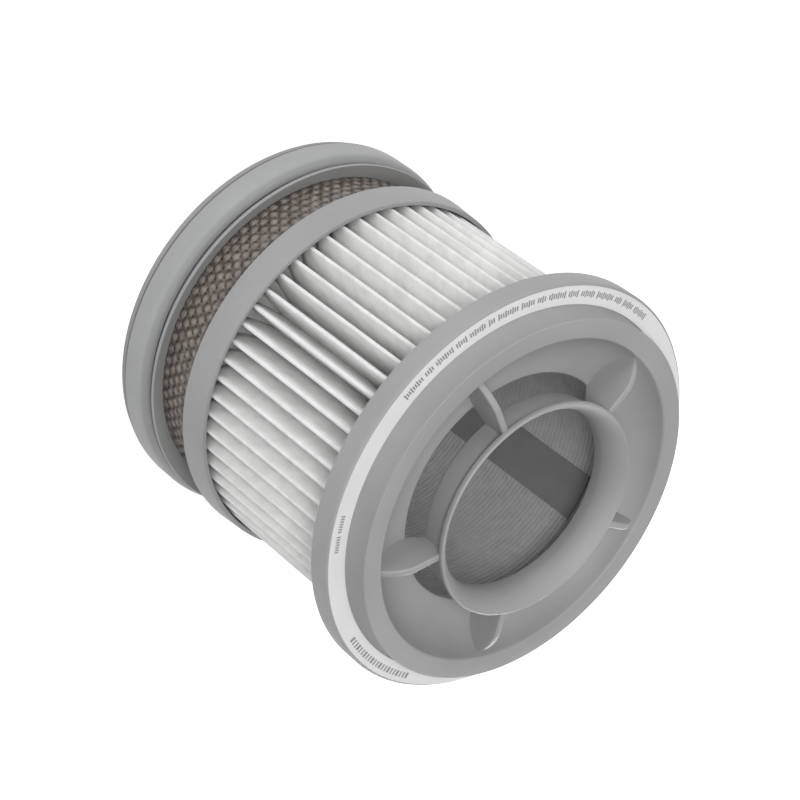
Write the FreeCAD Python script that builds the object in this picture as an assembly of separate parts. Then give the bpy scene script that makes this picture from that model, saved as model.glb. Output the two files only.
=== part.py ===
import FreeCAD, Part
import math
import os

# Filter cartridge of a hand-held vacuum cleaner, in millimetres.
# The axis is +Z, from the rear rest face at z = 0 to the open front.
# Air enters the rear collar and leaves it through the woven screen.
# It then passes the pleats inwards and leaves the core through the front bowl.

# Heights of the stack along the axis, from rear to front
rear_flange_height = 1.6
seal_channel_height = 6.4
collar_height = 8.5
screen_height = 11.3
mid_ring_height = 6.0
pleat_exposed_height = 38.3
flange_height = 4.3
neck_height = 4.7
hub_proud = 2.8

# Pleated filter sheet, which the rings and the front frame are built round
pleat_count = 60
pleat_crest_radius = 34.9
pleat_depth = 10.15
pleat_first_azimuth = 5.0
sheet_thickness = 0.4
pleat_clearance = 0.25

# Glue beds at both ends of the pleats
rear_bed_depth = 1.5
front_bed_inset = 0.8
front_bed_depth = 3.6
skirt_straight = 1.0

# Net tube that lines the core, and the dark strip over the seam of the pleats
net_wall = 0.3
net_clearance = 0.15
strip_thickness = 0.35
strip_arc = 21.0
strip_azimuth = 126.2
strip_clearance = 0.05

# Middle ring, its trough for the rear ends of the pleats, and the plug that closes the core
mid_ring_wall = 0.85
mid_ring_taper = 0.4
mid_ring_edge_round = 0.3
trough_floor = 1.5
plug_net_clearance = 0.25
plug_wall = 1.6
plug_rise = 9.1
plug_top = 1.5

# Woven screen, set back from the middle ring, and the posts that carry it
screen_setback = 3.4
screen_wall = 0.4
screen_seat_clearance = 0.1
hoop_proud = 0.25
hoop_width = 0.7
weave_rows = 3
weave_columns = 40
weave_strand = 2.4
post_count = 8
post_width = 3.0
post_depth = 2.3
post_sink = 0.5

# Rear collar: wall behind the seal, flange and flared lip that stand out from the seal's channel
channel_step = 1.4
collar_wall = 4.4
rear_flange_proud = 2.2
rear_edge_chamfer = 0.5
lip_proud = 1.8
lip_rise = 1.7
lip_edge_height = 0.8

# Seal ring in the collar's channel
seal_thickness = 2.8
seal_shoulder_radius = 2.0
seal_shoulder_land = 0.4
seal_rear_chamfer = 0.5
seal_clearance = 0.1

# Front frame: flange, neck, rim and bowl
neck_wall = 1.05
neck_taper = 0.4
flange_width = 4.1
flange_edge_round = 0.4
rim_land = 3.8
rim_edge_round = 0.6
rim_wall = 1.6
bowl_wall = 1.5
bowl_depth = 5.3
bowl_sag = 2.1
throat_lead = 1.6
throat_edge_round = 0.4

# Hub ring with a trumpet mouth, carried by five ribs
hub_gap = 2.7
hub_wall = 1.8
hub_lip_overhang = 1.2
hub_mouth_depth = 4.2
hub_mouth_sag = 0.48
hub_lip_round = 0.4
hub_lip_height = 1.0
hub_length = 6.3
rib_count = 5
rib_thickness = 1.35
rib_first_azimuth = -90.0
rib_step_below_hub = 0.95
rib_level_reach = 3.7
rib_end_lift = 1.0
rib_foot_drop = 1.7
rib_bulge = 0.55

# Flat printed ring on the flange
label_inner_gap = 0.15
label_outer_gap = 0.5
label_thickness = 0.2

# Largest share of a wall that a rounding may take
round_share = 0.4

# Levels worked out from the heights
z_mid_rear = collar_height + screen_height
z_mid_front = z_mid_rear + mid_ring_height
z_flange_rear = z_mid_front + pleat_exposed_height
z_flange_front = z_flange_rear + flange_height
z_rim = z_flange_front + neck_height
z_hub = z_rim + hub_proud
z_trough = z_mid_rear + trough_floor
z_plug = z_trough + plug_rise
z_rear_bed = z_trough + rear_bed_depth
z_front_bed = z_flange_rear + front_bed_inset
z_skirt_top = z_front_bed + skirt_straight
z_roof = z_rim - rim_wall
z_throat = z_rim - bowl_depth

# Radii worked out from the pleats inwards: net, plug, throat and hub
pleat_root_radius = pleat_crest_radius - pleat_depth
net_outer_radius = pleat_root_radius - net_clearance
net_inner_radius = net_outer_radius - net_wall
plug_radius = net_inner_radius - plug_net_clearance
throat_radius = net_inner_radius - throat_lead
hub_outer_radius = throat_radius - hub_gap
hub_bore_radius = hub_outer_radius - hub_wall
hub_lip_radius = hub_outer_radius + hub_lip_overhang
rib_level_radius = throat_radius + rib_level_reach

# Radii worked out from the pleats outwards: front frame
skirt_radius = pleat_crest_radius + pleat_clearance
neck_base_radius = skirt_radius + neck_wall
flange_radius = neck_base_radius + flange_width
rim_radius = neck_base_radius - neck_taper
roof_radius = rim_radius - rim_wall
rim_bore_radius = rim_radius - rim_land

# Radii worked out from the pleats outwards: middle ring, screen, posts, collar and seal
trough_radius = pleat_crest_radius + pleat_clearance
mid_ring_front_radius = trough_radius + mid_ring_wall
mid_ring_rear_radius = mid_ring_front_radius + mid_ring_taper
screen_radius = mid_ring_rear_radius - screen_setback
screen_inner_radius = screen_radius - screen_wall
post_outer_radius = screen_inner_radius - screen_seat_clearance
seal_channel_radius = screen_radius + channel_step
collar_bore_radius = seal_channel_radius - collar_wall
rear_flange_radius = seal_channel_radius + rear_flange_proud
lip_radius = seal_channel_radius + lip_proud
seal_radius = seal_channel_radius + seal_thickness

ORIGIN = FreeCAD.Vector(0, 0, 0)
AXIS = FreeCAD.Vector(0, 0, 1)


def at(radius, height):
    """Point of a section in the XZ plane."""
    return FreeCAD.Vector(radius, 0, height)


def polar(radius, degrees, height=0.0):
    """Point at a radius and azimuth round the axis."""
    turn = math.radians(degrees)
    return FreeCAD.Vector(radius * math.cos(turn), radius * math.sin(turn), height)


def outline(start, *steps):
    """Closed wire; a plain point is reached by a line, a pair (via, end) by an arc."""
    edges = []
    here = start
    for step in steps + (start,):
        if isinstance(step, tuple):
            via, end = step
            edges.append(Part.Arc(here, via, end).toShape())
        else:
            end = step
            edges.append(Part.LineSegment(here, end).toShape())
        here = end
    return Part.Wire(edges)


def turned(start, *steps):
    """Solid of revolution about the axis."""
    return Part.Face(outline(start, *steps)).revolve(ORIGIN, AXIS, 360)


def tube(outer, inner, bottom, top):
    """Plain tube between two levels."""
    return turned(at(inner, bottom), at(outer, bottom), at(outer, top), at(inner, top))


def round_edges(solid, radius, height):
    """Circular edges of a solid that lie at a radius and a level."""
    found = []
    for edge in solid.Edges:
        curve = edge.Curve
        if curve.TypeId != "Part::GeomCircle":
            continue
        if abs(curve.Radius - radius) < 0.01 and abs(curve.Center.z - height) < 0.01:
            found.append(edge)
    return found


def radial_copies(shape, count, first=0.0):
    """Copies of a shape turned evenly round the axis."""
    copies = []
    for index in range(count):
        copy = shape.copy()
        copy.rotate(ORIGIN, AXIS, first + index * 360.0 / count)
        copies.append(copy)
    return copies


def plate(start, *steps, thickness):
    """Flat plate in the XZ plane, centred on it."""
    face = Part.Face(outline(start, *steps))
    face.translate(FreeCAD.Vector(0, -thickness / 2, 0))
    return face.extrude(FreeCAD.Vector(0, thickness, 0))


def circle_through(first, second, third):
    """Centre (radius, height) and radius of the circle through three section points."""
    curve = Part.Circle(first, second, third)
    return curve.Center.x, curve.Center.z, curve.Radius


def chord_middle(first, last, sag):
    """Middle point of an arc between two points that bows out by the sag, to the right of the way."""
    way = last - first
    side = FreeCAD.Vector(way.z, 0, -way.x)
    side.normalize()
    return (first + last) * 0.5 + side * sag


def bowl_arc():
    """The bowl's visible face: throat edge, middle and rim edge."""
    throat = at(throat_radius, z_throat)
    rim = at(rim_bore_radius, z_rim)
    return throat, chord_middle(throat, rim, bowl_sag), rim


def bowl_back(depth):
    """Centre and radius of the circle that lies a depth behind the bowl's visible face."""
    centre_r, centre_z, radius = circle_through(*bowl_arc())
    return centre_r, centre_z, radius + depth


def bowl_back_at_height(depth, height):
    """Point behind the bowl's face at a level."""
    centre_r, centre_z, radius = bowl_back(depth)
    return at(centre_r + math.sqrt(radius ** 2 - (height - centre_z) ** 2), height)


def bowl_back_at_radius(depth, radius_out):
    """Point behind the bowl's face at a radius."""
    centre_r, centre_z, radius = bowl_back(depth)
    return at(radius_out, centre_z - math.sqrt(radius ** 2 - (radius_out - centre_r) ** 2))


def bowl_back_between(depth, first, last):
    """Middle of the arc behind the bowl's face between two of its points."""
    centre_r, centre_z, radius = bowl_back(depth)
    centre = at(centre_r, centre_z)
    way = (first - centre) + (last - centre)
    way.normalize()
    return centre + way * radius


def front_shell():
    """Flange, neck, rim and bowl as one turned wall."""
    throat, bowl_middle, rim_inner = bowl_arc()
    roof_inner = bowl_back_at_height(bowl_wall, z_roof)
    throat_back = bowl_back_at_radius(bowl_wall, throat_radius)
    shell = turned(
        throat,
        (bowl_middle, rim_inner),
        at(rim_radius, z_rim),
        at(neck_base_radius, z_flange_front),
        at(flange_radius, z_flange_front),
        at(flange_radius, z_flange_rear),
        at(skirt_radius, z_flange_rear),
        at(skirt_radius, z_skirt_top),
        at(roof_radius, z_roof),
        roof_inner,
        (bowl_back_between(bowl_wall, roof_inner, throat_back), throat_back),
    )
    rim_width = rim_radius - rim_bore_radius
    rim_edges = round_edges(shell, rim_radius, z_rim) + round_edges(shell, rim_bore_radius, z_rim)
    shell = shell.makeFillet(min(rim_edge_round, round_share * rim_width), rim_edges)
    flange_edges = round_edges(shell, flange_radius, z_flange_front)
    flange_edges += round_edges(shell, flange_radius, z_flange_rear)
    shell = shell.makeFillet(min(flange_edge_round, round_share * flange_height), flange_edges)
    throat_edge = round_edges(shell, throat_radius, z_throat)
    return shell.makeFillet(min(throat_edge_round, round_share * bowl_wall), throat_edge)


def hub():
    """Short sleeve that flares into a trumpet mouth and ends in a thin lip."""
    rear = z_hub - hub_length
    mouth_foot = at(hub_bore_radius, z_hub - hub_mouth_depth)
    crown = at(hub_lip_radius - hub_lip_round, z_hub)
    turn = math.sqrt(0.5)
    lip_side = at(hub_lip_radius, z_hub - hub_lip_round)
    lip_middle = at(crown.x + hub_lip_round * turn, lip_side.z + hub_lip_round * turn)
    lip_under = at(hub_lip_radius, z_hub - hub_lip_height)
    return turned(
        at(hub_bore_radius, rear),
        mouth_foot,
        (chord_middle(crown, mouth_foot, hub_mouth_sag), crown),
        (lip_middle, lip_side),
        lip_under,
        at(hub_outer_radius, lip_under.z - hub_lip_overhang),
        at(hub_outer_radius, rear),
    )


def rib():
    """Deep thin rib from the hub to the bowl: level at first, then curving down to its foot on the bowl."""
    half_wall = bowl_wall / 2
    top = z_hub - rib_step_below_hub
    root_radius = hub_bore_radius + hub_wall / 2
    under_lip_radius = (hub_outer_radius + hub_lip_radius) / 2
    foot_height = z_rim - rib_foot_drop
    foot = bowl_back_at_height(half_wall, foot_height)
    level_end = at(rib_level_radius, top)
    throat = bowl_back_at_radius(half_wall, throat_radius + half_wall)
    return plate(
        at(root_radius, z_hub - hub_length + rib_end_lift),
        at(root_radius, z_hub - hub_mouth_depth),
        at(under_lip_radius, top),
        level_end,
        (chord_middle(foot, level_end, rib_bulge), foot),
        (bowl_back_between(half_wall, foot, throat), throat),
        thickness=rib_thickness,
    )


def front_frame():
    """One moulding: flange, neck, rim, bowl, hub ring and ribs."""
    body = front_shell().fuse([hub()] + radial_copies(rib(), rib_count, rib_first_azimuth))
    return body.removeSplitter()


def label_ring():
    """Flat ring for the print on the flange's front face."""
    inner = neck_base_radius + label_inner_gap
    outer = flange_radius - label_outer_gap
    return tube(outer, inner, z_flange_front, z_flange_front + label_thickness)


def pleat_wires():
    """Outer and inner wire of the folded sheet: a fold is sharp on one face and goes round it on the other."""
    pitch = 360.0 / pleat_count
    crest_corner = pleat_crest_radius - sheet_thickness
    root_corner = pleat_root_radius + sheet_thickness
    way = polar(root_corner, pitch / 2) - polar(crest_corner, 0)
    lean = math.degrees(math.acos(sheet_thickness / way.Length))
    normal = math.degrees(math.atan2(way.y, way.x)) - lean
    outer = []
    inner = []
    for index in range(pleat_count):
        turn = pleat_first_azimuth + index * pitch
        root_turn = turn + pitch / 2
        crest = polar(crest_corner, turn)
        root = polar(root_corner, root_turn)
        crest_start = crest + polar(sheet_thickness, turn - normal)
        crest_end = crest + polar(sheet_thickness, turn + normal)
        outer += [crest_start, (polar(pleat_crest_radius, turn), crest_end), root]
        root_start = root - polar(sheet_thickness, turn + normal)
        root_end = root - polar(sheet_thickness, turn + pitch - normal)
        inner += [crest, root_start, (polar(pleat_root_radius, root_turn), root_end)]
    return [outline(*outer), outline(*inner)]


def pleat_pack():
    """One sheet folded into deep pleats and closed into a ring."""
    face = Part.makeFace(pleat_wires(), "Part::FaceMakerBullseye")
    face.translate(FreeCAD.Vector(0, 0, z_rear_bed))
    return face.extrude(FreeCAD.Vector(0, 0, z_front_bed - z_rear_bed))


def rear_glue_bed():
    """Glue that holds the rear ends of the pleats and the net in the trough."""
    return tube(trough_radius, plug_radius, z_trough, z_rear_bed)


def front_glue_bed():
    """Glue that fills the frame behind the bowl and holds the front ends of the pleats."""
    top = z_front_bed + front_bed_depth
    slope = (skirt_radius - roof_radius) / (z_roof - z_skirt_top)
    bowl_upper = bowl_back_at_height(bowl_wall, top)
    bowl_lower = bowl_back_at_radius(bowl_wall, net_inner_radius)
    return turned(
        at(net_inner_radius, z_front_bed),
        at(skirt_radius, z_front_bed),
        at(skirt_radius, z_skirt_top),
        at(skirt_radius - slope * (top - z_skirt_top), top),
        bowl_upper,
        (bowl_back_between(bowl_wall, bowl_upper, bowl_lower), bowl_lower),
    )


def core_net():
    """Net tube that stops the pleats from closing up inwards."""
    return tube(net_outer_radius, net_inner_radius, z_rear_bed, z_front_bed)


def seam_strip():
    """Curved strip inside the net, over the seam of the folded sheet."""
    outer = net_inner_radius - strip_clearance
    inner = outer - strip_thickness
    section = outline(
        at(inner, z_plug),
        at(outer, z_plug),
        at(outer, z_front_bed),
        at(inner, z_front_bed),
    )
    strip = Part.Face(section).revolve(ORIGIN, AXIS, strip_arc)
    strip.rotate(ORIGIN, AXIS, strip_azimuth - strip_arc / 2)
    return strip


def collar():
    """Rear ring with the seal's channel and the flared lip."""
    channel_front = rear_flange_height + seal_channel_height
    lip_top = collar_height + lip_rise
    ring = turned(
        at(collar_bore_radius, 0),
        at(rear_flange_radius, 0),
        at(rear_flange_radius, rear_flange_height),
        at(seal_channel_radius, rear_flange_height),
        at(seal_channel_radius, channel_front),
        at(lip_radius, lip_top - lip_edge_height),
        at(lip_radius, lip_top),
        at(screen_radius, collar_height),
        at(collar_bore_radius, collar_height),
    )
    chamfer = min(rear_edge_chamfer, round_share * rear_flange_height)
    edges = round_edges(ring, rear_flange_radius, 0) + round_edges(ring, collar_bore_radius, 0)
    return ring.makeChamfer(chamfer, edges)


def mid_ring():
    """Ring with the trough for the pleats and the plug that closes the core."""
    plug_bore = plug_radius - plug_wall
    ring = turned(
        at(plug_bore, z_mid_rear),
        at(mid_ring_rear_radius, z_mid_rear),
        at(mid_ring_front_radius, z_mid_front),
        at(trough_radius, z_mid_front),
        at(trough_radius, z_trough),
        at(plug_radius, z_trough),
        at(plug_radius, z_plug),
        at(0, z_plug),
        at(0, z_plug - plug_top),
        at(plug_bore, z_plug - plug_top),
    )
    edges = round_edges(ring, mid_ring_rear_radius, z_mid_rear)
    return ring.makeFillet(min(mid_ring_edge_round, round_share * mid_ring_wall), edges)


def screen_posts():
    """Posts between the collar and the middle ring, with rounded outer faces for the screen."""
    bottom = collar_height - post_sink
    top = z_mid_rear + post_sink
    band = tube(post_outer_radius, post_outer_radius - post_depth, bottom, top)
    bar = Part.makeBox(2 * post_depth, post_width, top - bottom)
    bar.translate(FreeCAD.Vector(post_outer_radius - 1.5 * post_depth, -post_width / 2, bottom))
    return [band.common(copy) for copy in radial_copies(bar, post_count, 180.0 / post_count)]


def rear_frame():
    """One moulding: collar, posts, middle ring and plug."""
    return collar().fuse([mid_ring()] + screen_posts()).removeSplitter()


def woven_screen():
    """Wall of the woven screen: staggered gaps between strands, with a raised hoop between the rows."""
    row_pitch = screen_height / weave_rows
    column_pitch = 2 * math.pi * screen_radius / weave_columns
    gap_width = column_pitch - weave_strand
    gap_height = row_pitch - 2 * hoop_width
    wall = tube(screen_radius, screen_inner_radius, collar_height, z_mid_rear)
    hoops = []
    for row in range(1, weave_rows):
        bottom = collar_height + row * row_pitch - hoop_width / 2
        hoops.append(tube(screen_radius + hoop_proud, screen_inner_radius, bottom, bottom + hoop_width))
    wall = wall.fuse(hoops).removeSplitter()
    gap = Part.makeBox(3 * screen_wall, gap_width, gap_height)
    gap.translate(FreeCAD.Vector(screen_inner_radius - screen_wall, -gap_width / 2, -gap_height / 2))
    gaps = []
    for row in range(weave_rows):
        row_gap = gap.copy()
        row_gap.translate(FreeCAD.Vector(0, 0, collar_height + (row + 0.5) * row_pitch))
        gaps += radial_copies(row_gap, weave_columns, row * 180.0 / weave_columns)
    return wall.cut(gaps)


def seal_ring():
    """Soft ring in the collar's channel, with a rounded front shoulder."""
    rear = rear_flange_height + seal_clearance
    front = rear_flange_height + seal_channel_height - seal_clearance
    inner = seal_channel_radius
    shoulder = min(seal_shoulder_radius, seal_thickness - seal_shoulder_land)
    turn = math.sqrt(0.5)
    crown = at(seal_radius - shoulder, front)
    side = at(seal_radius, front - shoulder)
    middle = at(crown.x + shoulder * turn, side.z + shoulder * turn)
    return turned(
        at(inner, rear),
        at(seal_radius - seal_rear_chamfer, rear),
        at(seal_radius, rear + seal_rear_chamfer),
        side,
        (middle, crown),
        at(inner, front),
    )


pieces = {
    "rear_frame": rear_frame,
    "seal_ring": seal_ring,
    "woven_screen": woven_screen,
    "rear_glue_bed": rear_glue_bed,
    "pleat_pack": pleat_pack,
    "core_net": core_net,
    "seam_strip": seam_strip,
    "front_glue_bed": front_glue_bed,
    "front_frame": front_frame,
    "label_ring": label_ring,
}

os.makedirs("parts", exist_ok=True)
for name, make in pieces.items():
    solid = make()
    box = solid.BoundBox
    print(
        name,
        "valid", solid.isValid(),
        "solids", len(solid.Solids),
        "volume", round(solid.Volume, 1),
        "z", round(box.ZMin, 2), round(box.ZMax, 2),
        "radius", round(box.XMax, 2),
    )
    solid.exportStep("parts/" + name + ".step")
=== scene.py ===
# %% [markdown]
# # A pleated filter cartridge, dressed for its portrait
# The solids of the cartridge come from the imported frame: they say where every piece sits and how large it
# is. This lesson rebuilds each piece as a finer mesh in the same place and gives it the finish of the real
# one: moulded grey plastic, white filter paper, a fine net, a woven screen and a soft seal. The first cell
# loads the frame and keeps its box, so that the dressed part can be compared with it at the end.

# %% Load the frame
import math

import bmesh
import bpy
from mathutils import Matrix, Vector, noise


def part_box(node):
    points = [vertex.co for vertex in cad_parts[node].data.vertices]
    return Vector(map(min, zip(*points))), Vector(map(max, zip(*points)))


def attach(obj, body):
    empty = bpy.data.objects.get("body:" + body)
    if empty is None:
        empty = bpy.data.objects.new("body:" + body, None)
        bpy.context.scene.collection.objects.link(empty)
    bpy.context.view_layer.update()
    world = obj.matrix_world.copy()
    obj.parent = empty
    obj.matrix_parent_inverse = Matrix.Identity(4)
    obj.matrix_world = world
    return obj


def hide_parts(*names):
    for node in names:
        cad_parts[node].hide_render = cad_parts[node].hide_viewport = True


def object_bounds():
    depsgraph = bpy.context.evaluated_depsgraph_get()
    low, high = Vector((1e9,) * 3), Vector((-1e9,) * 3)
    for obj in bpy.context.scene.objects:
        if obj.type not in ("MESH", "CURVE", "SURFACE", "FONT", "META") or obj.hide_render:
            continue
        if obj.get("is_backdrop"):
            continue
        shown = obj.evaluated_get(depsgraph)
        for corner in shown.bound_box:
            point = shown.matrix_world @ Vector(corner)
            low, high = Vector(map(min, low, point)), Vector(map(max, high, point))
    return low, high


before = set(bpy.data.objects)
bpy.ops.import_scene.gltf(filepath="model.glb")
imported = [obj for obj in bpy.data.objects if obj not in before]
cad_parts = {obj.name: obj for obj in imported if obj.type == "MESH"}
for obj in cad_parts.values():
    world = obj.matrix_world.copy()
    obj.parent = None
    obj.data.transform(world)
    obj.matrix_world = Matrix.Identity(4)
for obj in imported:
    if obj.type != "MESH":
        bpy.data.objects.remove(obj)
cad_box = [list(corner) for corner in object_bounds()]
MM = 0.001
print("nodes", sorted(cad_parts))
print("box in mm", [round(v / MM, 2) for corner in cad_box for v in corner])

# %% [markdown]
# ## Levels and radii
# Nearly every piece of a cartridge is turned round one axis, so a few radii and heights describe it. Those
# that a box can give are read from the nodes. The rest follow from them by the walls and gaps of the
# mouldings, which are typed in once, in millimetres. So the pieces keep fitting each other if the solids
# are ever changed.

# %% Read levels and radii
def span(node):
    """Outer radius, lowest and highest level of a node, in millimetres."""
    low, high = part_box(node)
    return max(high[0], high[1]) / MM, low[2] / MM, high[2] / MM


flange_r, z_flange_rear, z_hub = span("front_frame")
label_r, z_flange, z_label = span("label_ring")
skirt_r, z_trough, z_rear_bed = span("rear_glue_bed")
_, _, z_front_bed = span("pleat_pack")
net_r, _, _ = span("core_net")
_, z_collar, z_mid_rear = span("woven_screen")
seal_r, z_seal_rear, z_seal_front = span("seal_ring")
_, _, z_plug = span("rear_frame")

crest_r = skirt_r - 0.25
root_r = net_r + 0.15
net_bore_r = net_r - 0.3
plug_r = net_bore_r - 0.25
throat_r = net_bore_r - 1.6
hub_r = throat_r - 2.7
hub_bore_r = hub_r - 1.8
hub_lip_r = hub_r + 1.2
neck_r = skirt_r + 1.05
rim_r = neck_r - 0.4
rim_bore_r = rim_r - 3.8
label_bore_r = neck_r + 0.15
mid_r = skirt_r + 0.85
mid_rear_r = mid_r + 0.4
screen_r = mid_rear_r - 3.4
channel_r = screen_r + 1.4
z_rim = z_hub - 2.8
z_throat = z_rim - 5.3
z_mid_front = z_mid_rear + 6.0
print("crest", round(crest_r, 2), "root", round(root_r, 2))
print("hub", round(hub_r, 2), "screen", round(screen_r, 2))

# %% [markdown]
# ## Camera
# The portrait looks down on the open front, and the camera is rolled, so the axis of the cartridge runs to
# the lower right of the picture. A long lens keeps the circles almost parallel. The place could be found by
# eye; here it is an azimuth, an elevation and a roll about a point to aim at, which were fitted to the
# circles of the photograph.

# %% Place the camera
view_azimuth = 20.7
view_elevation = 39.7736
view_roll = -127.14
view_distance = 480.583
view_aim = Vector((-0.840, -0.317, 35.977))
view_lens = 118.107


def view_axes():
    """Unit vectors to the right, up and back of the camera."""
    turn, rise, roll = (math.radians(v) for v in (view_azimuth, view_elevation, view_roll))
    back = Vector((math.sin(turn) * math.cos(rise), -math.cos(turn) * math.cos(rise), math.sin(rise)))
    level_right = Vector((0, 0, 1)).cross(back).normalized()
    level_up = back.cross(level_right)
    up = level_up * math.cos(roll) + level_right * math.sin(roll)
    return up.cross(back), up, back


view_right, view_up, view_back = view_axes()
camera_data = bpy.data.cameras.new("camera")
camera_data.lens = view_lens
camera_data.clip_start = 0.01
camera = bpy.data.objects.new("camera", camera_data)
bpy.context.scene.collection.objects.link(camera)
turned_axes = Matrix((view_right, view_up, view_back)).transposed().to_4x4()
camera.matrix_world = Matrix.Translation((view_aim + view_back * view_distance) * MM) @ turned_axes
bpy.context.scene.camera = camera
print("camera at", [round(v, 3) for v in camera.matrix_world.translation])

# %% [markdown]
# ## Helpers for materials
# Colours are easiest to read off a surface as the hex values that a screen shows, but the shader wants
# linear light, so one function turns the one into the other. A second one adds a node with its settings and
# its links in one line, which keeps each material short enough to read as a recipe. The rest are steps that
# several materials share: noise of a real size, a colour between two, a tint that fades along a length, and
# a relief.

# %% Colour and node helpers
def linear(hex_colour):
    """Linear RGBA of an sRGB hex colour."""
    channels = [int(hex_colour[i:i + 2], 16) / 255 for i in (1, 3, 5)]
    return tuple(c / 12.92 if c <= 0.04045 else ((c + 0.055) / 1.055) ** 2.4 for c in channels) + (1.0,)


def add(tree, kind, values=None, links=None, **settings):
    """Adds a node: settings are its properties, values its sockets, links the sockets that others feed."""
    node = tree.nodes.new(kind)
    for name, value in settings.items():
        setattr(node, name, value)
    for socket, value in (values or {}).items():
        node.inputs[socket].default_value = value
    for socket, source in (links or {}).items():
        tree.links.new(source, node.inputs[socket])
    return node


def new_material(name, **shine):
    """Empty material, its tree, its shader and the object coordinates; shine sets plain shader sockets."""
    material = bpy.data.materials.new(name)
    material.use_nodes = True
    tree = material.node_tree
    shader = tree.nodes["Principled BSDF"]
    for socket, value in shine.items():
        shader.inputs[socket.replace("_", " ")].default_value = value
    return material, tree, shader, add(tree, "ShaderNodeTexCoord").outputs["Object"]


def speckle(tree, where, size, detail=2.0):
    """Noise with lumps of a size in millimetres."""
    values = {"Scale": 1 / (size * MM), "Detail": detail}
    return add(tree, "ShaderNodeTexNoise", values, {"Vector": where}).outputs[0]


def between(tree, shader, factor, dark, light, low=0.3, high=0.7):
    """Base colour that runs between two hex colours as a factor rises between two values; returns it."""
    values = {"From Min": low, "From Max": high}
    share = add(tree, "ShaderNodeMapRange", values, {"Value": factor}).outputs[0]
    mix = add(tree, "ShaderNodeMix", {6: linear(dark), 7: linear(light)}, {0: share}, data_type="RGBA")
    tree.links.new(mix.outputs[2], shader.inputs["Base Color"])
    return mix.outputs[2]


def share_between(tree, value, low, high):
    """Share from none to all, as a length runs from one size in millimetres to another."""
    return add(
        tree, "ShaderNodeMapRange", {"From Min": low * MM, "From Max": high * MM}, {"Value": value},
        interpolation_type="SMOOTHSTEP",
    ).outputs[0]


def tinted(tree, shader, colour, tint, share):
    """Base colour that goes over from a hex tint to a colour as a share rises; returns it."""
    mix = add(tree, "ShaderNodeMix", {6: linear(tint)}, {0: share, 7: colour}, data_type="RGBA")
    tree.links.new(mix.outputs[2], shader.inputs["Base Color"])
    return mix.outputs[2]


def height_of(tree, where):
    """Height of a point."""
    return add(tree, "ShaderNodeSeparateXYZ", links={0: where}).outputs[2]


def out_from_axis(tree, where):
    """Distance of a point from the axis."""
    flat = add(tree, "ShaderNodeVectorMath", {1: (1, 1, 0)}, {0: where}, operation="MULTIPLY").outputs[0]
    return add(tree, "ShaderNodeVectorMath", links={0: flat}, operation="LENGTH").outputs[1]


def relief(tree, shader, height, depth, strength=1.0):
    """Bump on the shader, with a depth in millimetres."""
    bump = add(tree, "ShaderNodeBump", {"Strength": strength, "Distance": depth * MM}, {"Height": height})
    tree.links.new(bump.outputs[0], shader.inputs["Normal"])


# %% [markdown]
# ## Moulded plastic and soft seal
# The frames are ABS, moulded in a spark-eroded tool: mid grey, with a fine even grain that scatters the
# light, so there are no sharp reflections. The grain is about 0.3 mm, and a broad, faint change of tone
# keeps large faces from looking printed. The seal is an elastomer of nearly the same grey, duller and
# smoother, with a soft sheen. Its front shoulder is darker with painted shade towards the channel, and a
# thin line of painted shade darkens its rear edge.

# %% Materials: spark-grained ABS and moulded elastomer
def grained_abs():
    material, tree, shader, where = new_material("frame_spark_grained_abs", Roughness=0.55, IOR=1.5)
    between(tree, shader, speckle(tree, where, 14.0), "#9B9B9B", "#A2A2A2")
    relief(tree, shader, speckle(tree, where, 0.3), 0.02, 0.25)
    return material


def moulded_elastomer():
    shine = {"Roughness": 0.62, "Sheen_Weight": 0.06}
    material, tree, shader, where = new_material("seal_moulded_elastomer", **shine)
    elastomer_tone = between(tree, shader, speckle(tree, where, 8.0), "#A6A7A7", "#ACADAD")
    # Painted shade: the inner part of the front shoulder, towards the channel, is tinted darker.
    band = share_between(tree, out_from_axis(tree, where), seal_r - 0.65, seal_r - 0.05)
    painted_shoulder_shade = tinted(tree, shader, elastomer_tone, "#989999", band)
    # Painted shade: a thin dark line along the seal's rear edge.
    rear_edge_shade_mask = share_between(tree, height_of(tree, where), z_seal_rear + 0.5, z_seal_rear + 0.8)
    tinted(tree, shader, painted_shoulder_shade, "#5E5F5F", rear_edge_shade_mask)
    relief(tree, shader, speckle(tree, where, 0.5), 0.02, 0.15)
    return material


frame_plastic = grained_abs()
seal_rubber = moulded_elastomer()
print(frame_plastic.name, seal_rubber.name)

# %% [markdown]
# ## Filter paper, glue, film and ink
# The pleats are felted glass and polymer fibres: white and quite matt, with a tangle of fibres about 0.4 mm
# long as a faint relief, and slight clouds where the felt is thinner. At the rear the paper is darker with
# painted shade, more at the crests than deeper in the folds. The glue is cast and grey, and darker towards
# the wall with painted shade. The ring on the flange is a satin film with plain grey ink.

# %% Materials: felted paper, cast glue, satin film, ink
def felted_paper():
    shine = {"Roughness": 0.9, "Specular_IOR_Level": 0.2}
    material, tree, shader, where = new_material("pleats_felted_fibre_paper", **shine)
    paper_tone = between(tree, shader, speckle(tree, where, 3.0, 6.0), "#EAEAE9", "#F5F5F4", 0.35, 0.6)
    # Painted shade: the paper is tinted darker near the rear glue bed, more at the crests than deeper in the
    # folds.
    slope = -0.8
    shade_height = add(
        tree, "ShaderNodeMath", {1: slope}, {0: out_from_axis(tree, where), 2: height_of(tree, where)},
        operation="MULTIPLY_ADD",
    ).outputs[0]
    level = z_rear_bed + slope * crest_r
    tinted(tree, shader, paper_tone, "#8C8C8A", share_between(tree, shade_height, level + 0.5, level + 4.5))
    relief(tree, shader, speckle(tree, where, 0.4, 4.0), 0.05, 0.35)
    return material


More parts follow.
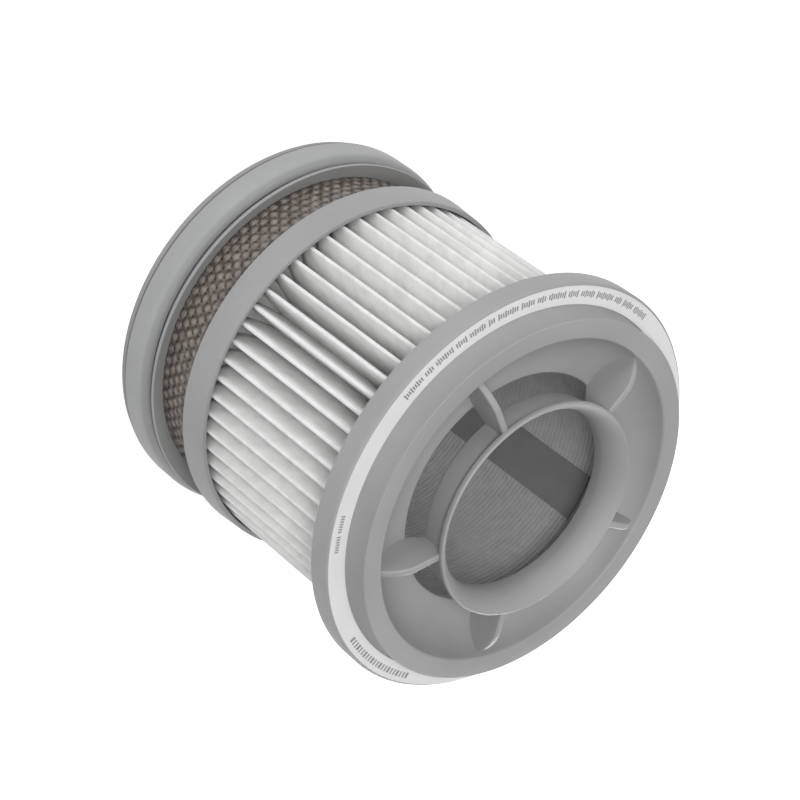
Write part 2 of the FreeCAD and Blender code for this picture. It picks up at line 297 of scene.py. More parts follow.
def cast_glue():
    material, tree, shader, where = new_material("beds_cast_glue", Roughness=0.4)
    poured = between(tree, shader, speckle(tree, where, 5.0), "#B2B2B0", "#BCBCBA")
    # Painted shade: the glue is tinted darker towards the wall.
    wall_shade_mask = share_between(tree, out_from_axis(tree, where), skirt_r, skirt_r - 5.0)
    tinted(tree, shader, poured, "#5A5A58", wall_shade_mask)
    return material


def satin_film():
    material, tree, shader, where = new_material("label_satin_film", Roughness=0.4)
    between(tree, shader, speckle(tree, where, 10.0), "#E4E4E4", "#EAEAEA")
    return material


def printed_ink():
    material, tree, shader, where = new_material("label_printed_ink", Roughness=0.6)
    between(tree, shader, speckle(tree, where, 0.3), "#8C8C8C", "#9C9C9C")
    return material


paper = felted_paper()
glue = cast_glue()
film = satin_film()
ink = printed_ink()
print(paper.name, glue.name, film.name, ink.name)

# %% [markdown]
# ## Net, strip and screen threads
# The core is lined with an extruded plastic net. Its light grey looks darker in the shade of the core. A
# dark smooth strip covers the seam. The rear screen is woven from brown-grey monofilament: each thread is a
# little glossy, a painted highlight lightens it where it bows outwards, and the tone differs a little from
# thread to thread.

# %% Materials: extruded net, plain strip, monofilament
def extruded_net():
    material, tree, shader, where = new_material("net_extruded_plastic", Roughness=0.55)
    between(tree, shader, speckle(tree, where, 2.0), "#B9B9B9", "#C3C3C3")
    return material


def plain_strip():
    material, tree, shader, where = new_material("strip_smooth_film", Roughness=0.5)
    between(tree, shader, speckle(tree, where, 6.0), "#868686", "#8C8C8C")
    return material


def monofilament():
    material, tree, shader, where = new_material("screen_woven_monofilament", Roughness=0.38)
    # Painted highlight: a thread is lighter where it bows outwards; a little noise varies the tone from
    # thread to thread.
    bow_highlight_share = share_between(tree, out_from_axis(tree, where), screen_r, screen_r + 0.24)
    painted_glint_and_tone = add(
        tree, "ShaderNodeMath", {1: 0.35}, {0: bow_highlight_share, 2: speckle(tree, where, 1.3)}, operation="MULTIPLY_ADD"
    ).outputs[0]
    between(tree, shader, painted_glint_and_tone, "#514A45", "#968D85", 0.45, 1.0)
    relief(tree, shader, speckle(tree, where, 0.25), 0.02, 0.3)
    return material


net_plastic = extruded_net()
strip_film = plain_strip()
screen_thread = monofilament()
print(net_plastic.name, strip_film.name, screen_thread.name)

# %% [markdown]
# ## Turning a section round the axis
# A ring-shaped piece is one closed section, turned once round the axis. A section is a handful of points,
# each a radius and a height, and its curves are arcs through three points. Spin sweeps it round, and a
# bevel of chosen ring edges rounds the corners that are round on the real piece: a bevel keeps a soft
# highlight where a sharp corner would have none.

# %% Helpers for turned pieces
def arc(first, middle, last, count):
    """Points of the arc through three section points, with both ends."""
    ax, ay = middle[0] - first[0], middle[1] - first[1]
    bx, by = last[0] - first[0], last[1] - first[1]
    twice = 2 * (ax * by - ay * bx)
    a2, b2 = ax * ax + ay * ay, bx * bx + by * by
    centre = (first[0] + (by * a2 - ay * b2) / twice, first[1] + (ax * b2 - bx * a2) / twice)
    radius = math.dist(first, centre)
    start, via, end = (math.atan2(p[1] - centre[1], p[0] - centre[0]) for p in (first, middle, last))
    sweep = (end - start) % math.tau
    if (via - start) % math.tau > sweep:
        sweep -= math.tau
    angles = [start + sweep * i / count for i in range(count + 1)]
    return [(centre[0] + radius * math.cos(a), centre[1] + radius * math.sin(a)) for a in angles]


def bowed(first, last, sag):
    """Middle of the arc from one section point to another that bows to the right of its way by a sag."""
    x, z = last[0] - first[0], last[1] - first[1]
    length = math.hypot(x, z)
    return ((first[0] + last[0]) / 2 + z / length * sag, (first[1] + last[1]) / 2 - x / length * sag)


def chain(bm, section):
    """Closed chain of verts and edges through section points."""
    verts = [bm.verts.new((radius * MM, 0, height * MM)) for radius, height in section]
    return verts + [bm.edges.new(pair) for pair in zip(verts, verts[1:] + verts[:1])]


def on_ring(vert, radius, height):
    """Whether a vert lies on the ring of a radius and a height in millimetres."""
    return abs(vert.co.xy.length - radius * MM) < 2e-6 and abs(vert.co.z - height * MM) < 2e-6


def turn_section(bm, section, corners=(), steps=192):
    """Spins a closed section round the axis and rounds its listed corners: radius, height, size."""
    bmesh.ops.spin(
        bm, geom=chain(bm, section), cent=(0, 0, 0), axis=(0, 0, 1), angle=math.tau, steps=steps,
        use_merge=True,
    )
    for radius, height, size in corners:
        ring = [edge for edge in bm.edges if all(on_ring(vert, radius, height) for vert in edge.verts)]
        bmesh.ops.bevel(
            bm, geom=ring, offset=size * MM, segments=4, profile=0.5, affect="EDGES", material=-1
        )


def piece(bm, name, material, slot, *nodes, smooth=38.0):
    """Finishes a bmesh as a piece that rides on the cartridge and stands for its nodes."""
    bmesh.ops.remove_doubles(bm, verts=bm.verts, dist=1e-7)
    bmesh.ops.recalc_face_normals(bm, faces=bm.faces)
    mesh = bpy.data.meshes.new(name)
    bm.to_mesh(mesh)
    bm.free()
    mesh.materials.append(material)
    mesh.shade_smooth()
    mesh.set_sharp_from_angle(angle=math.radians(smooth))
    made = bpy.data.objects.new(name, mesh)
    bpy.context.scene.collection.objects.link(made)
    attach(made, "root")
    if nodes:
        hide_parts(*nodes)
    print(name, len(mesh.polygons), "faces, size in mm", [round(v / MM, 1) for v in made.dimensions])
    return made


# %% [markdown]
# ## Front frame: the wall
# The front frame is one moulding. Its wall runs from the flange up the neck, over the rim and down into a
# bowl that leads the air to the hub. The neck is drawn in by half a millimetre between flange and rim. The
# bowl is a single arc, steep under the rim and nearly flat at its throat, and the back of the wall follows
# it.

# %% Front frame wall
bowl_wall = 1.5
bowl_sag = 2.1
rim_wall = 1.6
skirt_land = 1.0
bowl_low, bowl_high = (throat_r, z_throat), (rim_bore_r, z_rim)
bowl_face = arc(bowl_low, bowed(bowl_low, bowl_high, bowl_sag), bowl_high, 14)


def bowl_circle():
    """Centre and radius of the bowl's arc."""
    (x1, y1), (x2, y2), (x3, y3) = bowl_face[0], bowl_face[7], bowl_face[14]
    twice = 2 * (x1 * (y2 - y3) + x2 * (y3 - y1) + x3 * (y1 - y2))
    s1, s2, s3 = x1 * x1 + y1 * y1, x2 * x2 + y2 * y2, x3 * x3 + y3 * y3
    x = (s1 * (y2 - y3) + s2 * (y3 - y1) + s3 * (y1 - y2)) / twice
    y = (s1 * (x3 - x2) + s2 * (x1 - x3) + s3 * (x2 - x1)) / twice
    return x, y, math.dist((x, y), (x1, y1))


def behind_bowl(depth, high, radius, count):
    """Points of the arc that lies a depth behind the bowl's face, from a level down to a radius."""
    x, y, size = bowl_circle()
    size += depth
    start = math.asin((high - y) / size)
    end = -math.acos((radius - x) / size)
    angles = [start + (end - start) * i / count for i in range(count + 1)]
    return [(x + size * math.cos(a), y + size * math.sin(a)) for a in angles]


def frame_wall(bm):
    z_roof = z_rim - rim_wall
    top, foot = (rim_r, z_rim), (neck_r, z_flange)
    neck = arc(top, bowed(top, foot, 0.5), foot, 8)
    section = bowl_face + neck + [
        (flange_r, z_flange),
        (flange_r, z_flange_rear),
        (skirt_r, z_flange_rear),
        (skirt_r, z_front_bed + skirt_land),
        (rim_r - rim_wall, z_roof),
    ] + behind_bowl(bowl_wall, z_roof, throat_r, 12)
    corners = (
        (rim_r, z_rim, 0.2),
        (rim_bore_r, z_rim, 0.4),
        (neck_r, z_flange, 0.3),
        (flange_r, z_flange, 0.4),
        (flange_r, z_flange_rear, 0.4),
        (throat_r, z_throat, 0.4),
    )
    turn_section(bm, section, corners)


wall_bm = bmesh.new()
frame_wall(wall_bm)
print("wall faces", len(wall_bm.faces))

# %% [markdown]
# ## Front frame: hub and ribs
# The hub is a short sleeve that flares into a trumpet mouth, so the air enters it without an edge, and ends
# in a thin lip. Five thin deep ribs carry it. A rib's front edge leaves the lip level and then curves down
# to its foot on the bowl. It is drawn as one flat outline, extruded to its thickness and rounded along the
# front edge.

# %% Hub and ribs
rib_count = 5
rib_first = -90.0
rib_half = 0.675
z_rib = z_hub - 0.95
z_foot = z_rim - 1.7


def hub_sleeve(bm):
    z_end = z_hub - 6.3
    z_lip = z_hub - 1.0
    lip = 0.4
    turn = math.sqrt(0.5)
    foot = (hub_bore_r, z_hub - 4.2)
    crown = (hub_lip_r - lip, z_hub)
    side = (hub_lip_r, z_hub - lip)
    mouth = arc(foot, bowed(crown, foot, 0.48), crown, 16)
    outer = arc(crown, (crown[0] + lip * turn, side[1] + lip * turn), side, 6)
    under = [(hub_lip_r, z_lip), (hub_r, z_hub - 2.2), (hub_r, z_end)]
    corners = (
        (hub_lip_r, z_lip, 0.2),
        (hub_r, z_end, 0.35),
        (hub_bore_r, z_end, 0.45),
    )
    turn_section(bm, [(hub_bore_r, z_end)] + mouth + outer[1:] + under, corners)


def rib_outline():
    """Section points of a rib: hub wall, level edge, curved edge down to the foot, and the bowl's wall."""
    level_end = (throat_r + 3.7, z_rib)
    foot = behind_bowl(bowl_wall / 2, z_foot, throat_r + 0.75, 10)
    edge = arc(level_end, bowed(foot[0], level_end, 0.55), foot[0], 8)
    inside = hub_r - 0.9
    root = [(inside, z_hub - 5.3), (inside, z_hub - 4.2), ((hub_r + hub_lip_r) / 2, z_rib)]
    return root + edge + foot[1:]


def one_rib(bm, azimuth):
    made = chain(bm, rib_outline())
    face = bm.faces.new([g for g in made if isinstance(g, bmesh.types.BMVert)])
    bmesh.ops.translate(bm, verts=face.verts, vec=(0, -rib_half * MM, 0))
    grown = bmesh.ops.extrude_face_region(bm, geom=[face], use_keep_orig=True)["geom"]
    far = [g for g in grown if isinstance(g, bmesh.types.BMVert)]
    bmesh.ops.translate(bm, verts=far, vec=(0, 2 * rib_half * MM, 0))
    rib = set(face.verts) | set(far)
    front = [
        edge for edge in {e for vert in rib for e in vert.link_edges}
        if all(v.co.z > (z_foot - 0.01) * MM and v.co.x > (hub_r - 0.01) * MM for v in edge.verts)
        and abs(edge.verts[0].co.y - edge.verts[1].co.y) < 1e-7
    ]
    rounded = bmesh.ops.bevel(
        bm, geom=front, offset=0.35 * MM, segments=3, profile=0.5, affect="EDGES", material=-1
    )
    whole = {v for v in rib if v.is_valid} | set(rounded["verts"])
    spin = Matrix.Rotation(math.radians(azimuth), 3, "Z")
    bmesh.ops.rotate(bm, verts=list(whole), cent=(0, 0, 0), matrix=spin)


hub_sleeve(wall_bm)
rib_bm = bmesh.new()
for index in range(rib_count):
    one_rib(rib_bm, rib_first + index * 360 / rib_count)
print("wall and hub faces", len(wall_bm.faces), "rib faces", len(rib_bm.faces))

# %% [markdown]
# ## Welding the moulding
# Wall, hub and ribs were made apart, but the real frame is one shot of plastic. Left as they are, the ribs'
# ends would lie inside the walls. A Boolean union cuts those ends away and leaves one skin. It is evaluated
# once and kept as a plain mesh.

# %% Weld the front frame
def helper_object(bm, name):
    """Plain object for a union, removed after it."""
    bmesh.ops.remove_doubles(bm, verts=bm.verts, dist=1e-7)
    bmesh.ops.recalc_face_normals(bm, faces=bm.faces)
    mesh = bpy.data.meshes.new(name)
    bm.to_mesh(mesh)
    bm.free()
    made = bpy.data.objects.new(name, mesh)
    bpy.context.scene.collection.objects.link(made)
    return made


def union(body, extra):
    """Bmesh of the union of two closed bmeshes."""
    first = helper_object(body, "weld_body")
    second = helper_object(extra, "weld_extra")
    weld = first.modifiers.new("weld", "BOOLEAN")
    weld.operation = "UNION"
    weld.object = second
    bpy.context.view_layer.update()
    shape = first.evaluated_get(bpy.context.evaluated_depsgraph_get())
    joined = bmesh.new()
    joined.from_mesh(shape.to_mesh())
    shape.to_mesh_clear()
    for made in (first, second):
        bpy.data.objects.remove(made)
    return joined


piece(union(wall_bm, rib_bm), "front_frame_moulding", frame_plastic, "frame_grey", "front_frame")

# %% [markdown]
# ## Printed ring
# A flat ring of white satin film lies on the flange. Its print is left as plain marks of ink: a long row of
# ticks, a short row and a block of bars, each set square to the radius. A tick is a thin plate that stands
# 0.01 mm proud of the film, as a layer of ink does.

# %% Printed ring
tick_r = (label_bore_r + label_r) / 2 + 0.25
ink_thickness = 0.02
letter_pitch = 0.75
word_gap = 0.8
bar_pitch = 1.35
bar_count = 22


def film_ring():
    bm = bmesh.new()
    below = [(label_bore_r, z_flange), (label_r, z_flange)]
    above = [(label_r, z_label), (label_bore_r, z_label)]
    turn_section(bm, below + above)
    return piece(bm, "label_film_ring", film, "label_white", "label_ring")


def tick(bm, azimuth, width, height):
    """One plate of ink on the film: its width runs round the ring and its height along the radius."""
    spin = Matrix.Rotation(math.radians(azimuth), 4, "Z")
    place = spin @ Matrix.Translation((tick_r * MM, 0, z_label * MM))
    size = Matrix.Diagonal((height * MM, width * MM, ink_thickness * MM, 1))
    bmesh.ops.create_cube(bm, size=1, matrix=place @ size)


def row_of_ticks(bm, azimuth, groups, width, low, high):
    """Ticks in groups, like words: every third or so is high, the others are low."""
    for group in groups:
        for letter in range(group):
            tick(bm, azimuth, width, high if (letter * 7 + group) % 3 == 0 else low)
            azimuth -= letter_pitch
        azimuth -= word_gap


def print_marks():
    bm = bmesh.new()
    row_of_ticks(bm, 288.0, (9, 4, 8, 5, 7, 3, 9, 6, 4, 8, 5, 7, 9, 4, 6, 8), 0.33, 0.95, 1.35)
    row_of_ticks(bm, 333.0, (7, 7), 0.3, 0.8, 0.8)
    for bar in range(bar_count):
        tick(bm, 5.0 + bar * bar_pitch, 0.4 if bar % 3 else 0.62, 1.15)
    return piece(bm, "label_ink_marks", ink, "label_white")


film_ring()
print_marks()

# %% [markdown]
# ## Pleats
# The filter sheet is folded to and fro sixty times and closed into a ring. The cleanest way to make it is
# the way it is made: draw the folded line once, raise it along the axis in rows, and give the sheet its
# thickness. Folds could be left as sharp corners, but a small bend catches the light along each crest. Each
# pleat also leans a little between its two glue beds, as paper does, and its rear end stands in the poured
# glue.

# %% Pleated sheet
pleat_count = 60
first_crest = 5.0
sheet = 0.4
lean_most = 0.08
bend_steps = 6
pleat_rows = 22
bed_dish = 1.1
z_paper = z_rear_bed - bed_dish - 0.2


def fold_line():
    """Points along the middle of the folded sheet, once round the axis."""
    pitch = math.tau / pleat_count
    crest, root = crest_r - sheet, root_r + sheet
    way = Vector((root * math.cos(pitch / 2) - crest, root * math.sin(pitch / 2)))
    bend = math.atan2(way.y, way.x) - math.acos(sheet / way.length)
    half = sheet / 2
    points = []
    for index in range(pleat_count):
        turn = math.radians(first_crest) + index * pitch
        middle = turn + pitch / 2
        top = Vector((crest * math.cos(turn), crest * math.sin(turn)))
        low = Vector((root * math.cos(middle), root * math.sin(middle)))
        over = [turn - bend + 2 * bend * i / bend_steps for i in range(bend_steps + 1)]
        under = [turn + bend + (pitch - 2 * bend) * i / bend_steps for i in range(bend_steps + 1)]
        crest_points = [top + half * Vector((math.cos(a), math.sin(a))) for a in over]
        root_points = [low - half * Vector((math.cos(a), math.sin(a))) for a in under]
        after = Vector((crest * math.cos(turn + pitch), crest * math.sin(turn + pitch)))
        next_crest = after + half * Vector((math.cos(turn + pitch - bend), math.sin(turn + pitch - bend)))
        down = [crest_points[-1].lerp(root_points[0], i / 3) for i in (1, 2)]
        rise = [root_points[-1].lerp(next_crest, i / 3) for i in (1, 2)]
        points += crest_points + down + root_points + rise
    return points


def lean(vert):
    """Small sideways lean of a pleat: none at the glue beds and the root, most at the crest half way up."""
    height = (vert.co.z / MM - z_paper) / (z_front_bed - z_paper)
    out = max(0.0, (vert.co.xy.length / MM - root_r) / (crest_r - root_r))
    azimuth = math.degrees(math.atan2(vert.co.y, vert.co.x))
    index = round((azimuth - first_crest) / 360 * pleat_count) % pleat_count
    swing = noise.noise(Vector((index * 3.7, height * 1.6, 0.5)))
    angle = lean_most * swing * out * math.sin(math.pi * height) / crest_r
    vert.co.xy = Matrix.Rotation(angle, 2) @ vert.co.xy


def pleated_sheet():
    bm = bmesh.new()
    verts = [bm.verts.new((point.x * MM, point.y * MM, z_paper * MM)) for point in fold_line()]
    edges = [bm.edges.new(pair) for pair in zip(verts, verts[1:] + verts[:1])]
    step = (z_front_bed - z_paper) * MM / pleat_rows
    for _ in range(pleat_rows):
        grown = bmesh.ops.extrude_edge_only(bm, edges=edges)["geom"]
        edges = [g for g in grown if isinstance(g, bmesh.types.BMEdge)]
        raised = [g for g in grown if isinstance(g, bmesh.types.BMVert)]
        bmesh.ops.translate(bm, verts=raised, vec=(0, 0, step))
    for vert in bm.verts:
        lean(vert)
    made = piece(bm, "pleated_paper", paper, "pleat_white", "pleat_pack", smooth=180.0)
    wall = made.modifiers.new("sheet", "SOLIDIFY")
    wall.thickness = sheet * MM
    wall.offset = 0
    return made


pleated_sheet()

# %% [markdown]
# ## Core net and seam strip
# A net tube keeps the pleats from closing up inwards. Its rings lie inside and its straight strands
# outside, welded where they cross. One ring section per row is spun round at once, and one strand is copied
# round the axis. The strip over the seam is a short arc of film.

# %% Core net and seam strip
ring_pitch = 0.93
ring_height = 0.74
ring_r = net_r - 0.14
strand_count = 280
strand_r = net_r - 0.09
strand_width = 0.36
strand_depth = 0.16
strip_azimuth = 126.2
strip_span = 21.0
strip_thickness = 0.35


def copies_round(bm, geom, count):
    """Copies geometry evenly round the axis."""
    bmesh.ops.spin(
        bm, geom=geom, cent=(0, 0, 0), axis=(0, 0, 1), angle=math.tau * (count - 1) / count,
        steps=count - 1, use_duplicate=True,
    )


def core_net():
    bm = bmesh.new()
    sections = []
    rows = int((z_front_bed - z_rear_bed) / ring_pitch)
    for row in range(rows):
        low = z_rear_bed + 0.2 + row * ring_pitch
        sections += chain(bm, [
            (net_bore_r, low), (ring_r, low), (ring_r, low + ring_height), (net_bore_r, low + ring_height),
        ])
    bmesh.ops.spin(
        bm, geom=sections, cent=(0, 0, 0), axis=(0, 0, 1), angle=math.tau, steps=144, use_merge=True
    )
    place = Matrix.Translation((strand_r * MM, 0, (z_rear_bed + z_front_bed) / 2 * MM))
    size = Matrix.Diagonal((strand_depth * MM, strand_width * MM, (z_front_bed - z_rear_bed) * MM, 1))
    strand = bmesh.ops.create_cube(bm, size=1, matrix=place @ size)["verts"]
    faces = {face for vert in strand for face in vert.link_faces}
    edges = {edge for vert in strand for edge in vert.link_edges}
    copies_round(bm, strand + list(edges) + list(faces), strand_count)
    return piece(bm, "core_net_tube", net_plastic, "net_grey", "core_net")


def seam_strip():
    bm = bmesh.new()
    outer = net_bore_r - 0.05
    inner = outer - strip_thickness
    section = chain(bm, [(inner, z_plug), (outer, z_plug), (outer, z_front_bed), (inner, z_front_bed)])
    start = Matrix.Rotation(math.radians(strip_azimuth - strip_span / 2), 3, "Z")
    bmesh.ops.rotate(bm, verts=section[:4], cent=(0, 0, 0), matrix=start)
    span_angle = math.radians(strip_span)
    bmesh.ops.spin(bm, geom=section, cent=(0, 0, 0), axis=(0, 0, 1), angle=span_angle, steps=24)
    bmesh.ops.holes_fill(bm, edges=[edge for edge in bm.edges if edge.is_boundary], sides=4)
    return piece(bm, "seam_strip_film", strip_film, "strip_dark", "seam_strip")


core_net()
seam_strip()

# %% [markdown]
# ## Glue beds
# Glue seals both ends of the pleats: at the rear it fills the trough of the middle ring, and at the front
# the space behind the bowl. Little of it shows, between the pleats' ends. Each bed is one turned section.
# The rear one is poured, so it stands higher at the walls than between the pleats.

# %% Glue beds
front_bed_depth = 3.6


def glue_beds():
    rear = bmesh.new()
    rim, core = (skirt_r, z_rear_bed), (plug_r, z_rear_bed)
    dish = arc(rim, bowed(rim, core, -bed_dish), core, 10)
    turn_section(rear, [(plug_r, z_trough), (skirt_r, z_trough)] + dish, steps=128)
    piece(rear, "rear_glue", glue, "glue_pale", "rear_glue_bed")
    front = bmesh.new()
    slope = (skirt_r - rim_r + rim_wall) / (z_rim - rim_wall - z_front_bed - skirt_land)
    top = z_front_bed + front_bed_depth
    section = [
        (net_bore_r, z_front_bed),
        (skirt_r, z_front_bed),
        (skirt_r, z_front_bed + skirt_land),
        (skirt_r - slope * (front_bed_depth - skirt_land), top),
    ] + behind_bowl(bowl_wall, top, net_bore_r, 10)
    turn_section(front, section, steps=128)
    piece(front, "front_glue", glue, "glue_pale", "front_glue_bed")


glue_beds()

# %% [markdown]
# ## Rear frame
# The collar, the posts, the middle ring and the plug that closes the core are one moulding too. Collar and
# middle ring are two turned sections. The plug is turned with a small hole at the axis, which is filled
# afterwards. A post is a block from the collar to the middle ring, sunk a little into both, so the union
# welds it to them.

# %% Rear frame
post_count = 8
post_width = 3.0
post_depth = 2.3
post_sunk = 0.5


def collar(bm):
    lip = channel_r + 1.8
    bore = channel_r - 4.4
    flange = channel_r + 2.2
    z_flange_top = 1.6
    z_channel_top = 8.0
    z_lip_rear = z_collar + 0.9
    z_lip_front = z_collar + 1.7
    section = [
        (bore, 0.0),
        (flange, 0.0),
        (flange, z_flange_top),
        (channel_r, z_flange_top),
        (channel_r, z_channel_top),
        (lip, z_lip_rear),
        (lip, z_lip_front),
        (screen_r, z_collar),
        (bore, z_collar),
    ]
    corners = (
        (flange, 0.0, 0.5),
        (bore, 0.0, 0.5),
        (flange, z_flange_top, 0.2),
        (lip, z_lip_rear, 0.15),
        (lip, z_lip_front, 0.12),
        (bore, z_collar, 0.4),
    )
    turn_section(bm, section, corners)


def middle_ring(bm):
    bore = plug_r - 1.6
    hole = 1.0
    z_plug_rear = z_plug - 1.5
    section = [
        (bore, z_mid_rear),
        (mid_rear_r, z_mid_rear),
        (mid_r, z_mid_front),
        (skirt_r, z_mid_front),
        (skirt_r, z_trough),
        (plug_r, z_trough),
        (plug_r, z_plug),
        (hole, z_plug),
        (hole, z_plug_rear),
        (bore, z_plug_rear),
    ]
    corners = (
        (mid_rear_r, z_mid_rear, 0.3),
        (mid_r, z_mid_front, 0.15),
        (skirt_r, z_mid_front, 0.15),
        (plug_r, z_plug, 0.5),
    )
    turn_section(bm, section, corners)
    inner = [face for face in bm.faces if all(v.co.xy.length < (hole + 0.01) * MM for v in face.verts)]
    bmesh.ops.delete(bm, geom=inner, context="FACES_ONLY")
    bmesh.ops.holes_fill(bm, edges=[edge for edge in bm.edges if edge.is_boundary], sides=0)


def posts():
    bm = bmesh.new()
    outer = screen_r - 0.5
    low, high = z_collar - post_sunk, z_mid_rear + post_sunk
    for index in range(post_count):
        spin = Matrix.Rotation(math.tau * (index + 0.5) / post_count, 4, "Z")
        place = Matrix.Translation(((outer - post_depth / 2) * MM, 0, (low + high) / 2 * MM))
        size = Matrix.Diagonal((post_depth * MM, post_width * MM, (high - low) * MM, 1))
        bmesh.ops.create_cube(bm, size=1, matrix=spin @ place @ size)
    return bm


rear_bm = bmesh.new()
collar(rear_bm)
middle_ring(rear_bm)
piece(union(rear_bm, posts()), "rear_frame_moulding", frame_plastic, "frame_grey", "rear_frame")

# %% [markdown]
# ## Woven screen
# The screen is a plain weave: each thread passes over one and under the next. A picture of a weave would
# stay flat where the light grazes it, so the threads are real. One period of the weave is swept by hand, a
# ring of section verts that is extruded from place to place, and the rest is copied round the axis.

# %% Woven screen
weave_pairs = 88
weft_rows = 7
weft_steps = 12
thread_rise = 0.11
thread_r = screen_r - 0.03
thread_thickness = 0.34
weft_width = 1.78
warp_width = 0.85
row_pitch = (z_mid_rear - z_collar) / weft_rows


def sweep(bm, places, width, thickness):
    """Flat oval thread along a list of place matrices; returns its geometry."""
    size = Matrix.Diagonal((width * MM, thickness * MM, 1, 1))
    verts = bmesh.ops.create_circle(bm, segments=6, radius=0.5, matrix=places[0] @ size)["verts"]
    edges = list({edge for vert in verts for edge in vert.link_edges})
    made = list(verts)
    for here, there in zip(places, places[1:]):
        grown = bmesh.ops.extrude_edge_only(bm, edges=edges)["geom"]
        edges = [g for g in grown if isinstance(g, bmesh.types.BMEdge)]
        verts = [g for g in grown if isinstance(g, bmesh.types.BMVert)]
        bmesh.ops.transform(bm, matrix=there @ here.inverted(), verts=verts)
        made += verts
    all_edges = {edge for vert in made for edge in vert.link_edges}
    return made + list(all_edges) + list({face for vert in made for face in vert.link_faces})


def place_on(radius, turn, height, across):
    """Place of a thread's section: its width runs across, its thickness outwards."""
    out = Vector((math.cos(turn), math.sin(turn), 0))
    side = Vector((0, 0, 1)) if across == "up" else Vector((-out.y, out.x, 0))
    axes = Matrix((side, out, side.cross(out))).transposed().to_4x4()
    return Matrix.Translation((out * radius + Vector((0, 0, height))) * MM) @ axes


def woven_screen():
    bm = bmesh.new()
    period = math.tau / weave_pairs
    unit = []
    for row in range(weft_rows):
        height = z_collar + (row + 0.5) * row_pitch
        sign = 1 if row % 2 else -1
        places = []
        for step in range(weft_steps + 1):
            radius = thread_r + sign * thread_rise * math.cos(math.tau * step / weft_steps)
            places.append(place_on(radius, period * step / weft_steps, height, "up"))
        unit += sweep(bm, places, weft_width, thread_thickness)
    for side in (0, 1):
        sign = 1 if side else -1
        places = []
        for step in range(4 * weft_rows + 1):
            radius = thread_r + sign * thread_rise * math.cos((step / 4 - 0.5) * math.pi)
            places.append(place_on(radius, period * side / 2, z_collar + step / 4 * row_pitch, "round"))
        unit += sweep(bm, places, warp_width, thread_thickness)
    copies_round(bm, list(dict.fromkeys(unit)), weave_pairs)
    bmesh.ops.remove_doubles(bm, verts=bm.verts, dist=5e-6)
    return piece(
        bm, "woven_screen_threads", screen_thread, "screen_weave", "woven_screen", smooth=180.0
    )


woven_screen()

# %% [markdown]
# ## Seal ring
# The seal is a soft ring in the collar's channel. Its band is flat, its front shoulder is a wide quarter
# round that slides into the socket and falls off towards the channel, and its rear edge has a small bevel.

# %% Seal ring
def seal_ring():
    bm = bmesh.new()
    shoulder = 2.0
    fall = 0.6
    turn = math.sqrt(0.5)
    crown = (seal_r - shoulder, z_seal_front)
    side = (seal_r, z_seal_front - shoulder)
    nose = arc(side, (crown[0] + shoulder * turn, side[1] + shoulder * turn), crown, 12)
    base = [(channel_r, z_seal_rear), (seal_r, z_seal_rear)]
    turn_section(bm, base + nose + [(channel_r, z_seal_front - fall)], [(seal_r, z_seal_rear, 0.5)])
    return piece(bm, "seal_ring_soft", seal_rubber, "seal_grey", "seal_ring")


seal_ring()

# %% [markdown]
# ## Floor and light
# The cartridge stands on a plain white floor that fills the picture and keeps its soft shadow. The floor
# glows a little and the sky is white only for the camera and in reflections, so the ground is white without
# brighter lamps. The object is lit by an even pale sky, a soft lamp on the side from which the photograph is
# lit, one straight above, a smaller one near the camera that looks into the hub, and a low one behind, so
# that the back isn't dim. They stay at a level at which a colour comes out about as written.

# %% Floor and light
lamp_distance = 0.9


def seen_rays(tree):
    """One for a ray from the camera, and for one that left a mirror or a clear piece; else nothing."""
    path = add(tree, "ShaderNodeLightPath").outputs
    either = add(
        tree, "ShaderNodeMath",
        links={0: path["Is Camera Ray"], 1: path["Is Glossy Ray"]}, operation="MAXIMUM",
    ).outputs[0]
    return add(
        tree, "ShaderNodeMath", links={0: either, 1: path["Is Transmission Ray"]}, operation="MAXIMUM",
    ).outputs[0]


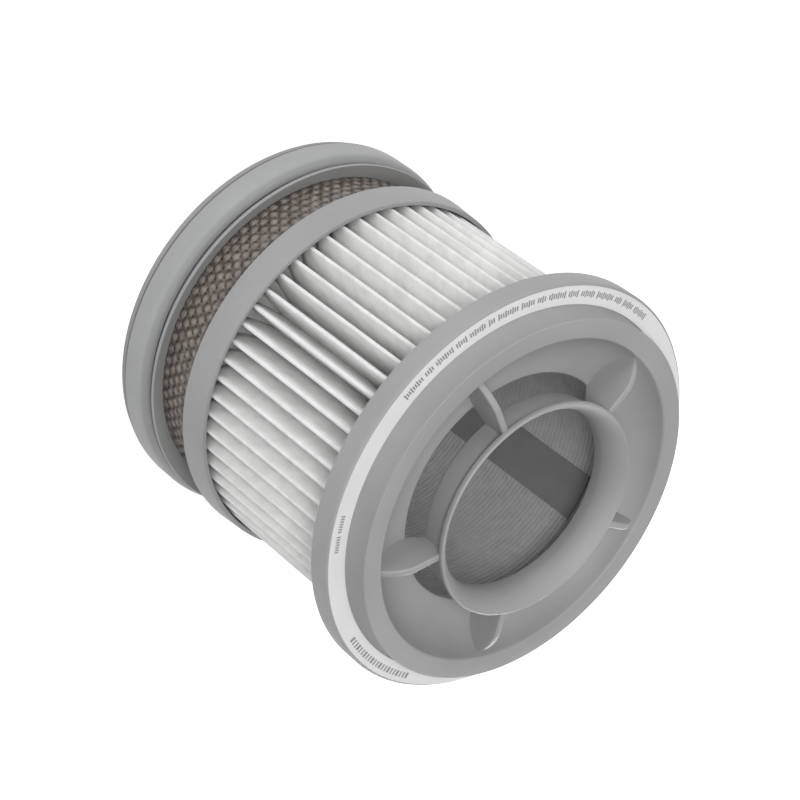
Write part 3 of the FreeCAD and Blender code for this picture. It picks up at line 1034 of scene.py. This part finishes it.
def floor():
    bm = bmesh.new()
    bmesh.ops.create_grid(bm, x_segments=1, y_segments=1, size=3.0)
    mesh = bpy.data.meshes.new("floor")
    bm.to_mesh(mesh)
    bm.free()
    material, tree, shader, _ = new_material("floor_white_paper", Roughness=0.9, Specular_IOR_Level=0.0)
    shader.inputs["Base Color"].default_value = linear("#F4F4F4")
    shader.inputs["Emission Color"].default_value = linear("#FFFFFF")
    glow = add(tree, "ShaderNodeMath", {1: 0.66}, {0: seen_rays(tree)}, operation="MULTIPLY")
    tree.links.new(glow.outputs[0], shader.inputs["Emission Strength"])
    mesh.materials.append(material)
    made = bpy.data.objects.new("floor", mesh)
    made.location.z = -0.05 * MM
    bpy.context.scene.collection.objects.link(made)
    made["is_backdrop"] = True


def soft_lamp(name, towards, size, watts):
    """Square area lamp that shines at the cartridge from a direction."""
    data = bpy.data.lights.new(name, "AREA")
    data.shape = "SQUARE"
    data.size = size
    data.energy = watts
    lamp = bpy.data.objects.new(name, data)
    aim = Vector((0, 0, 37 * MM))
    lamp.location = aim + Vector(towards).normalized() * lamp_distance
    lamp.rotation_euler = (lamp.location - aim).to_track_quat("Z", "Y").to_euler()
    bpy.context.scene.collection.objects.link(lamp)


def sky(level):
    world = bpy.data.worlds.new("pale_sky")
    world.use_nodes = True
    tree = world.node_tree
    tree.nodes["Background"].inputs["Color"].default_value = (1, 1, 1, 1)
    strength = add(tree, "ShaderNodeMath", {0: level}, {1: seen_rays(tree)}, operation="MAXIMUM")
    tree.links.new(strength.outputs[0], tree.nodes["Background"].inputs["Strength"])
    bpy.context.scene.world = world


floor()
soft_lamp("side_lamp", (-0.52, -0.84, 0.15), 0.5, 2.0)
soft_lamp("hub_lamp", (0.237, -0.626, 0.743), 0.3, 3.5)
soft_lamp("top_lamp", (0.0, 0.0, 1.0), 0.5, 1.6)
soft_lamp("back_lamp", (0.0, 1.0, 0.02), 0.3, 4.5)
sky(0.3)
bpy.context.scene.view_settings.view_transform = "Standard"

# %% [markdown]
# ## Print the boxes
# The dressed part has to stay in the box of the solids. Both boxes are printed, one under the other.

# %% Print the boxes
visual_box = [list(corner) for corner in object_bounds()]
for title, box in (("cad", cad_box), ("visual", visual_box)):
    print(title, "box in mm", [round(v / MM, 2) for corner in box for v in corner])
